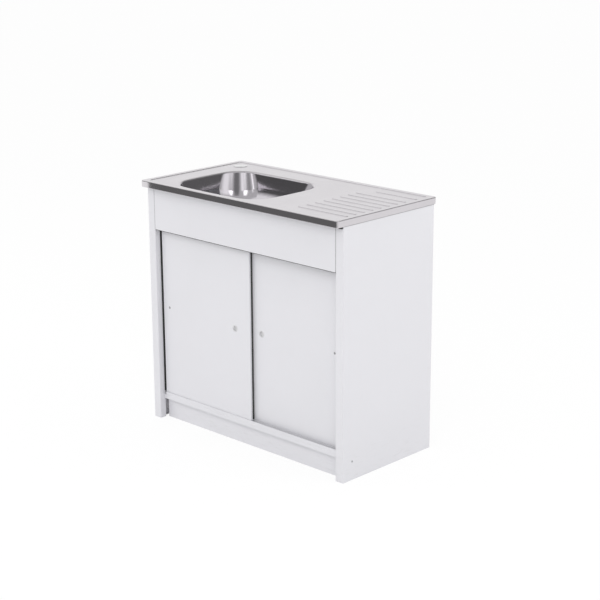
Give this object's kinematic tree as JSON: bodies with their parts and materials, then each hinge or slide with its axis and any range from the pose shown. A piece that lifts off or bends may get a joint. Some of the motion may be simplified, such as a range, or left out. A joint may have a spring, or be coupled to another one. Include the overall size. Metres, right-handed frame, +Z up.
{
  "type": "kitchen sink unit",
  "caption": "Free-standing kitchen sink unit: pressed stainless top with bowl and ribbed drainer on a white steel cupboard with sliding doors, rail and recessed plinth.",
  "frame": {"origin": "on the floor under the middle of the sink top", "axes": "+X along the length towards the drainer, +Y to the back, +Z up"},
  "size_m": [0.9, 0.47, 0.8521],
  "materials": {
    "white_enamel": "smooth satin white stove enamel on folded sheet",
    "door_enamel": "smooth satin white stove enamel on pan doors",
    "stainless": "satin pressed stainless sheet, brighter in the bowl",
    "polished_steel": "polished stainless",
    "zinc_steel": "zinc plated folded strip",
    "track_aluminium": "plain drawn track",
    "nylon": "natural nylon",
    "cup_plastic": "moulded white",
    "plug_plastic": "moulded grey",
    "seal_rubber": "black rubber",
    "damping_pad": "matt bitumen rubber",
    "nut_plastic": "moulded white",
    "screw_steel": "plated"
  },
  "bodies": {
    "cabinet": {"left_side_panel": "white_enamel", "right_side_panel": "white_enamel", "front_rail": "white_enamel", "rear_rail": "white_enamel", "back_panel": "white_enamel", "bottom_panel": "white_enamel", "plinth": "white_enamel", "sink_top": "stainless", "deck_battens": "zinc_steel", "sink_clips": "zinc_steel", "bottom_track": "track_aluminium", "top_track": "track_aluminium", "waste_body": "polished_steel", "tap_hole_cover": "polished_steel", "flange_seal": "seal_rubber", "lower_seal": "seal_rubber", "sound_pad": "damping_pad", "waste_nut": "nut_plastic", "tap_hole_nut": "nut_plastic", "rail_screws": "screw_steel", "shelf_screws": "screw_steel", "back_panel_screws": "screw_steel", "plinth_screws": "screw_steel", "track_screws": "screw_steel", "clip_screws": "screw_steel"},
    "left_door": {"left_door_panel": "door_enamel", "left_finger_cup": "cup_plastic", "left_hole_plug": "plug_plastic", "left_door_glides": "nylon", "left_door_guides": "nylon"},
    "right_door": {"right_door_panel": "door_enamel", "right_finger_cup": "cup_plastic", "right_hole_plug": "plug_plastic", "right_door_glides": "nylon", "right_door_guides": "nylon"},
    "basket": {"strainer_basket": "polished_steel", "basket_stopper": "seal_rubber", "basket_knob": "polished_steel"}
  },
  "joints": [
    {"name": "left_door_slide", "type": "slide", "parent": "cabinet", "child": "left_door", "axis": [1, 0, 0], "range_m": [0, 0.392]},
    {"name": "right_door_slide", "type": "slide", "parent": "cabinet", "child": "right_door", "axis": [1, 0, 0], "range_m": [-0.392, 0]},
    {"name": "basket_lift", "type": "slide", "parent": "cabinet", "child": "basket", "axis": [0, 0, 1], "range_m": [0, 0.012]}
  ]
}
